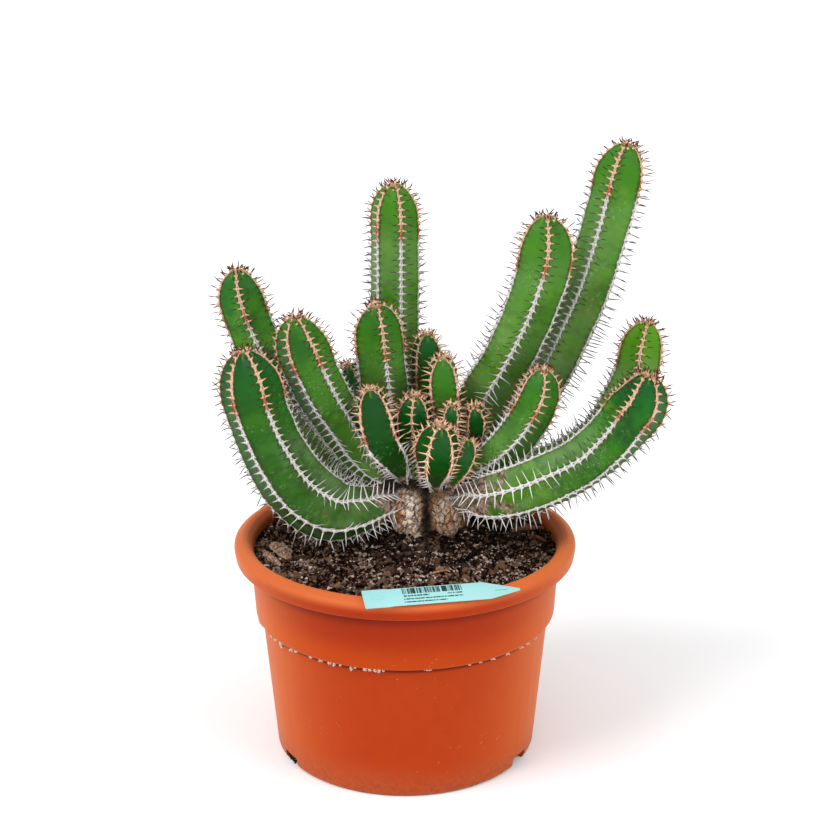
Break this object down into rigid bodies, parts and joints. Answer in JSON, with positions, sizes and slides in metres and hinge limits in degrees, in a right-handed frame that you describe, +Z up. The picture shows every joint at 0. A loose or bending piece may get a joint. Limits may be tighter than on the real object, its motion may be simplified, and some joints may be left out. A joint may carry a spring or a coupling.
{
  "type": "potted euphorbia",
  "caption": "Potted spiny euphorbia: ribbed green columns branching from a short woody trunk, in a round stepped plastic nursery pot with soil and a blank stick label.",
  "frame": {"origin": "centre of the pot's flat underside", "axes": "+Z up, -Y to the front where the label lies, +X to the plant's right as seen from the front"},
  "size_m": [0.2559, 0.2063, 0.333],
  "materials": {
    "pot_plastic": "satin terracotta orange",
    "potting_soil": "loose dark soil",
    "trunk_bark": "cracked bark",
    "stem_flesh": "waxy green skin with horny ribs",
    "label_plastic": "aqua",
    "dry_wood": "dry and fibrous"
  },
  "bodies": {
    "root": {"bark_shred": "dry_wood", "label": "label_plastic", "pot": "pot_plastic", "soil": "potting_soil", "stem_01": "stem_flesh", "stem_02": "stem_flesh", "stem_03": "stem_flesh", "stem_04": "stem_flesh", "stem_05": "stem_flesh", "stem_06": "stem_flesh", "stem_07": "stem_flesh", "stem_08": "stem_flesh", "stem_09": "stem_flesh", "stem_10": "stem_flesh", "stem_11": "stem_flesh", "stem_12": "stem_flesh", "stem_13": "stem_flesh", "stem_14": "stem_flesh", "stem_15": "stem_flesh", "stem_16": "stem_flesh", "stem_17": "stem_flesh", "stem_18": "stem_flesh", "stem_19": "stem_flesh", "stem_20": "stem_flesh", "stem_21": "stem_flesh", "stem_22": "stem_flesh", "straw": "dry_wood", "trunk": "trunk_bark", "twig_left": "dry_wood", "twig_right": "dry_wood", "wood_chip": "dry_wood"}
  },
  "joints": []
}
